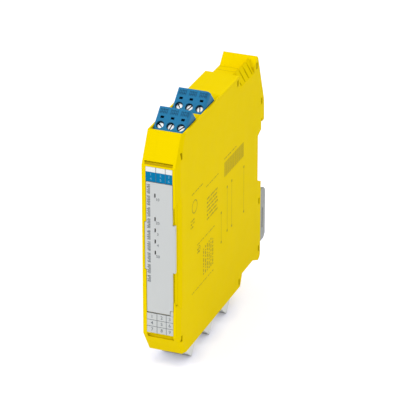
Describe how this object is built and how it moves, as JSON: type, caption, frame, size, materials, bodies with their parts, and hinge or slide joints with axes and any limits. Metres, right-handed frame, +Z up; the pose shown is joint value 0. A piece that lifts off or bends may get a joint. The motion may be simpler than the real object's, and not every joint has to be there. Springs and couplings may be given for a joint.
{
  "type": "safety relay module",
  "caption": "Narrow yellow rail-mounted safety relay with blue and grey pluggable screw terminals, a hinged front label flap and a sprung metal rail foot.",
  "frame": {"origin": "middle of the rail seat: centre of the width, in the plane that touches the rail's front, midway between the rail's edges", "axes": "+X to the right seen from the front, +Y back into the rail, +Z up"},
  "size_m": [0.0176, 0.117, 0.1266],
  "materials": {
    "housing_yellow": "fine moulded satin",
    "flap_grey": "smooth satin",
    "marking_white": "smooth satin",
    "light_guide": "clear moulded",
    "foot_steel": "plated sheet",
    "spring_steel": "bright wire",
    "plug_blue": "satin moulded",
    "plug_grey": "satin moulded",
    "screw_zinc": "bright zinc",
    "contact_metal": "tinned",
    "header_dark": "satin moulded",
    "board_green": "solder mask",
    "relay_case": "moulded",
    "core_dark": "moulded"
  },
  "bodies": {
    "housing": {"left_shell": "housing_yellow", "right_shell": "housing_yellow", "upper_marking_strip": "marking_white", "lower_marking_field": "flap_grey", "light_guides": "light_guide", "foot_spring": "spring_steel", "safety_contact_relay_1": "relay_case", "safety_contact_relay_2": "relay_case", "transformer": "core_dark", "capacitors": "core_dark", "main_board": "board_green", "header_pins": "contact_metal", "top_header_1": "header_dark", "top_header_2": "header_dark", "bottom_header_1": "header_dark", "bottom_header_2": "header_dark", "bottom_header_3": "header_dark"},
    "front_flap": {"front_flap": "flap_grey"},
    "rail_foot": {"rail_foot": "foot_steel"},
    "top_plug_1": {"top_plug_1": "plug_blue", "top_plug_1_contacts": "contact_metal"},
    "top_plug_1_screw_1": {"top_plug_1_screw_1": "screw_zinc"},
    "top_plug_1_clamp_1": {"top_plug_1_clamp_1": "contact_metal"},
    "top_plug_1_screw_2": {"top_plug_1_screw_2": "screw_zinc"},
    "top_plug_1_clamp_2": {"top_plug_1_clamp_2": "contact_metal"},
    "top_plug_1_screw_3": {"top_plug_1_screw_3": "screw_zinc"},
    "top_plug_1_clamp_3": {"top_plug_1_clamp_3": "contact_metal"},
    "top_plug_2": {"top_plug_2": "plug_blue", "top_plug_2_contacts": "contact_metal"},
    "top_plug_2_screw_1": {"top_plug_2_screw_1": "screw_zinc"},
    "top_plug_2_clamp_1": {"top_plug_2_clamp_1": "contact_metal"},
    "top_plug_2_screw_2": {"top_plug_2_screw_2": "screw_zinc"},
    "top_plug_2_clamp_2": {"top_plug_2_clamp_2": "contact_metal"},
    "top_plug_2_screw_3": {"top_plug_2_screw_3": "screw_zinc"},
    "top_plug_2_clamp_3": {"top_plug_2_clamp_3": "contact_metal"},
    "bottom_plug_1": {"bottom_plug_1": "plug_grey", "bottom_plug_1_contacts": "contact_metal"},
    "bottom_plug_1_screw_1": {"bottom_plug_1_screw_1": "screw_zinc"},
    "bottom_plug_1_clamp_1": {"bottom_plug_1_clamp_1": "contact_metal"},
    "bottom_plug_1_screw_2": {"bottom_plug_1_screw_2": "screw_zinc"},
    "bottom_plug_1_clamp_2": {"bottom_plug_1_clamp_2": "contact_metal"},
    "bottom_plug_1_screw_3": {"bottom_plug_1_screw_3": "screw_zinc"},
    "bottom_plug_1_clamp_3": {"bottom_plug_1_clamp_3": "contact_metal"},
    "bottom_plug_2": {"bottom_plug_2": "plug_grey", "bottom_plug_2_contacts": "contact_metal"},
    "bottom_plug_2_screw_1": {"bottom_plug_2_screw_1": "screw_zinc"},
    "bottom_plug_2_clamp_1": {"bottom_plug_2_clamp_1": "contact_metal"},
    "bottom_plug_2_screw_2": {"bottom_plug_2_screw_2": "screw_zinc"},
    "bottom_plug_2_clamp_2": {"bottom_plug_2_clamp_2": "contact_metal"},
    "bottom_plug_2_screw_3": {"bottom_plug_2_screw_3": "screw_zinc"},
    "bottom_plug_2_clamp_3": {"bottom_plug_2_clamp_3": "contact_metal"},
    "bottom_plug_3": {"bottom_plug_3": "plug_grey", "bottom_plug_3_contacts": "contact_metal"},
    "bottom_plug_3_screw_1": {"bottom_plug_3_screw_1": "screw_zinc"},
    "bottom_plug_3_clamp_1": {"bottom_plug_3_clamp_1": "contact_metal"},
    "bottom_plug_3_screw_2": {"bottom_plug_3_screw_2": "screw_zinc"},
    "bottom_plug_3_clamp_2": {"bottom_plug_3_clamp_2": "contact_metal"},
    "bottom_plug_3_screw_3": {"bottom_plug_3_screw_3": "screw_zinc"},
    "bottom_plug_3_clamp_3": {"bottom_plug_3_clamp_3": "contact_metal"}
  },
  "joints": [
    {"name": "flap_hinge", "type": "hinge", "parent": "housing", "child": "front_flap", "pos_m": [0, -0.10935, -0.03665], "axis": [1, 0, 0], "range_deg": [0, 100]},
    {"name": "foot_slide", "type": "slide", "parent": "housing", "child": "rail_foot", "axis": [0, 0, -1], "range_m": [0, 0.003], "stiffness_N_per_m": 1500, "springref_m": -0.002, "deforming": ["foot_spring"]},
    {"name": "top_plug_1_pull", "type": "slide", "parent": "housing", "child": "top_plug_1", "axis": [0, 0.7547, 0.6561], "range_m": [0, 0.012]},
    {"name": "top_plug_1_screw_1_turn", "type": "hinge", "parent": "top_plug_1", "child": "top_plug_1_screw_1", "pos_m": [-0.00508, -0.09652, 0.0527], "axis": [0, 0.6561, -0.7547], "range_deg": [0, 1584.5]},
    {"name": "top_plug_1_clamp_1_lift", "type": "slide", "parent": "top_plug_1", "child": "top_plug_1_clamp_1", "axis": [0, -0.6561, 0.7547], "range_m": [0, 0.0022]},
    {"name": "top_plug_1_screw_2_turn", "type": "hinge", "parent": "top_plug_1", "child": "top_plug_1_screw_2", "pos_m": [0, -0.09652, 0.0527], "axis": [0, 0.6561, -0.7547], "range_deg": [0, 1584.5]},
    {"name": "top_plug_1_clamp_2_lift", "type": "slide", "parent": "top_plug_1", "child": "top_plug_1_clamp_2", "axis": [0, -0.6561, 0.7547], "range_m": [0, 0.0022]},
    {"name": "top_plug_1_screw_3_turn", "type": "hinge", "parent": "top_plug_1", "child": "top_plug_1_screw_3", "pos_m": [0.00508, -0.09652, 0.0527], "axis": [0, 0.6561, -0.7547], "range_deg": [0, 1584.5]},
    {"name": "top_plug_1_clamp_3_lift", "type": "slide", "parent": "top_plug_1", "child": "top_plug_1_clamp_3", "axis": [0, -0.6561, 0.7547], "range_m": [0, 0.0022]},
    {"name": "top_plug_2_pull", "type": "slide", "parent": "housing", "child": "top_plug_2", "axis": [0, 0.7547, 0.6561], "range_m": [0, 0.012]},
    {"name": "top_plug_2_screw_1_turn", "type": "hinge", "parent": "top_plug_2", "child": "top_plug_2_screw_1", "pos_m": [-0.00508, -0.07342, 0.0527], "axis": [0, 0.6561, -0.7547], "range_deg": [0, 1584.5]},
    {"name": "top_plug_2_clamp_1_lift", "type": "slide", "parent": "top_plug_2", "child": "top_plug_2_clamp_1", "axis": [0, -0.6561, 0.7547], "range_m": [0, 0.0022]},
    {"name": "top_plug_2_screw_2_turn", "type": "hinge", "parent": "top_plug_2", "child": "top_plug_2_screw_2", "pos_m": [0, -0.07342, 0.0527], "axis": [0, 0.6561, -0.7547], "range_deg": [0, 1584.5]},
    {"name": "top_plug_2_clamp_2_lift", "type": "slide", "parent": "top_plug_2", "child": "top_plug_2_clamp_2", "axis": [0, -0.6561, 0.7547], "range_m": [0, 0.0022]},
    {"name": "top_plug_2_screw_3_turn", "type": "hinge", "parent": "top_plug_2", "child": "top_plug_2_screw_3", "pos_m": [0.00508, -0.07342, 0.0527], "axis": [0, 0.6561, -0.7547], "range_deg": [0, 1584.5]},
    {"name": "top_plug_2_clamp_3_lift", "type": "slide", "parent": "top_plug_2", "child": "top_plug_2_clamp_3", "axis": [0, -0.6561, 0.7547], "range_m": [0, 0.0022]},
    {"name": "bottom_plug_1_pull", "type": "slide", "parent": "housing", "child": "bottom_plug_1", "axis": [0, 0.7547, -0.6561], "range_m": [0, 0.012]},
    {"name": "bottom_plug_1_screw_1_turn", "type": "hinge", "parent": "bottom_plug_1", "child": "bottom_plug_1_screw_1", "pos_m": [0.00508, -0.09742, -0.0621], "axis": [0, 0.6561, 0.7547], "range_deg": [0, 1584.5]},
    {"name": "bottom_plug_1_clamp_1_lift", "type": "slide", "parent": "bottom_plug_1", "child": "bottom_plug_1_clamp_1", "axis": [0, -0.6561, -0.7547], "range_m": [0, 0.0022]},
    {"name": "bottom_plug_1_screw_2_turn", "type": "hinge", "parent": "bottom_plug_1", "child": "bottom_plug_1_screw_2", "pos_m": [0, -0.09742, -0.0621], "axis": [0, 0.6561, 0.7547], "range_deg": [0, 1584.5]},
    {"name": "bottom_plug_1_clamp_2_lift", "type": "slide", "parent": "bottom_plug_1", "child": "bottom_plug_1_clamp_2", "axis": [0, -0.6561, -0.7547], "range_m": [0, 0.0022]},
    {"name": "bottom_plug_1_screw_3_turn", "type": "hinge", "parent": "bottom_plug_1", "child": "bottom_plug_1_screw_3", "pos_m": [-0.00508, -0.09742, -0.0621], "axis": [0, 0.6561, 0.7547], "range_deg": [0, 1584.5]},
    {"name": "bottom_plug_1_clamp_3_lift", "type": "slide", "parent": "bottom_plug_1", "child": "bottom_plug_1_clamp_3", "axis": [0, -0.6561, -0.7547], "range_m": [0, 0.0022]},
    {"name": "bottom_plug_2_pull", "type": "slide", "parent": "housing", "child": "bottom_plug_2", "axis": [0, 0.7547, -0.6561], "range_m": [0, 0.012]},
    {"name": "bottom_plug_2_screw_1_turn", "type": "hinge", "parent": "bottom_plug_2", "child": "bottom_plug_2_screw_1", "pos_m": [0.00508, -0.07432, -0.0621], "axis": [0, 0.6561, 0.7547], "range_deg": [0, 1584.5]},
    {"name": "bottom_plug_2_clamp_1_lift", "type": "slide", "parent": "bottom_plug_2", "child": "bottom_plug_2_clamp_1", "axis": [0, -0.6561, -0.7547], "range_m": [0, 0.0022]},
    {"name": "bottom_plug_2_screw_2_turn", "type": "hinge", "parent": "bottom_plug_2", "child": "bottom_plug_2_screw_2", "pos_m": [0, -0.07432, -0.0621], "axis": [0, 0.6561, 0.7547], "range_deg": [0, 1584.5]},
    {"name": "bottom_plug_2_clamp_2_lift", "type": "slide", "parent": "bottom_plug_2", "child": "bottom_plug_2_clamp_2", "axis": [0, -0.6561, -0.7547], "range_m": [0, 0.0022]},
    {"name": "bottom_plug_2_screw_3_turn", "type": "hinge", "parent": "bottom_plug_2", "child": "bottom_plug_2_screw_3", "pos_m": [-0.00508, -0.07432, -0.0621], "axis": [0, 0.6561, 0.7547], "range_deg": [0, 1584.5]},
    {"name": "bottom_plug_2_clamp_3_lift", "type": "slide", "parent": "bottom_plug_2", "child": "bottom_plug_2_clamp_3", "axis": [0, -0.6561, -0.7547], "range_m": [0, 0.0022]},
    {"name": "bottom_plug_3_pull", "type": "slide", "parent": "housing", "child": "bottom_plug_3", "axis": [0, 0.7547, -0.6561], "range_m": [0, 0.012]},
    {"name": "bottom_plug_3_screw_1_turn", "type": "hinge", "parent": "bottom_plug_3", "child": "bottom_plug_3_screw_1", "pos_m": [0.00508, -0.05122, -0.0621], "axis": [0, 0.6561, 0.7547], "range_deg": [0, 1584.5]},
    {"name": "bottom_plug_3_clamp_1_lift", "type": "slide", "parent": "bottom_plug_3", "child": "bottom_plug_3_clamp_1", "axis": [0, -0.6561, -0.7547], "range_m": [0, 0.0022]},
    {"name": "bottom_plug_3_screw_2_turn", "type": "hinge", "parent": "bottom_plug_3", "child": "bottom_plug_3_screw_2", "pos_m": [0, -0.05122, -0.0621], "axis": [0, 0.6561, 0.7547], "range_deg": [0, 1584.5]},
    {"name": "bottom_plug_3_clamp_2_lift", "type": "slide", "parent": "bottom_plug_3", "child": "bottom_plug_3_clamp_2", "axis": [0, -0.6561, -0.7547], "range_m": [0, 0.0022]},
    {"name": "bottom_plug_3_screw_3_turn", "type": "hinge", "parent": "bottom_plug_3", "child": "bottom_plug_3_screw_3", "pos_m": [-0.00508, -0.05122, -0.0621], "axis": [0, 0.6561, 0.7547], "range_deg": [0, 1584.5]},
    {"name": "bottom_plug_3_clamp_3_lift", "type": "slide", "parent": "bottom_plug_3", "child": "bottom_plug_3_clamp_3", "axis": [0, -0.6561, -0.7547], "range_m": [0, 0.0022]}
  ],
  "couplings": [
    {"joint": "top_plug_1_screw_1_turn", "follows": "top_plug_1_clamp_1_lift", "rad_per_m": 12566},
    {"joint": "top_plug_1_screw_2_turn", "follows": "top_plug_1_clamp_2_lift", "rad_per_m": 12566},
    {"joint": "top_plug_1_screw_3_turn", "follows": "top_plug_1_clamp_3_lift", "rad_per_m": 12566},
    {"joint": "top_plug_2_screw_1_turn", "follows": "top_plug_2_clamp_1_lift", "rad_per_m": 12566},
    {"joint": "top_plug_2_screw_2_turn", "follows": "top_plug_2_clamp_2_lift", "rad_per_m": 12566},
    {"joint": "top_plug_2_screw_3_turn", "follows": "top_plug_2_clamp_3_lift", "rad_per_m": 12566},
    {"joint": "bottom_plug_1_screw_1_turn", "follows": "bottom_plug_1_clamp_1_lift", "rad_per_m": 12566},
    {"joint": "bottom_plug_1_screw_2_turn", "follows": "bottom_plug_1_clamp_2_lift", "rad_per_m": 12566},
    {"joint": "bottom_plug_1_screw_3_turn", "follows": "bottom_plug_1_clamp_3_lift", "rad_per_m": 12566},
    {"joint": "bottom_plug_2_screw_1_turn", "follows": "bottom_plug_2_clamp_1_lift", "rad_per_m": 12566},
    {"joint": "bottom_plug_2_screw_2_turn", "follows": "bottom_plug_2_clamp_2_lift", "rad_per_m": 12566},
    {"joint": "bottom_plug_2_screw_3_turn", "follows": "bottom_plug_2_clamp_3_lift", "rad_per_m": 12566},
    {"joint": "bottom_plug_3_screw_1_turn", "follows": "bottom_plug_3_clamp_1_lift", "rad_per_m": 12566},
    {"joint": "bottom_plug_3_screw_2_turn", "follows": "bottom_plug_3_clamp_2_lift", "rad_per_m": 12566},
    {"joint": "bottom_plug_3_screw_3_turn", "follows": "bottom_plug_3_clamp_3_lift", "rad_per_m": 12566}
  ]
}
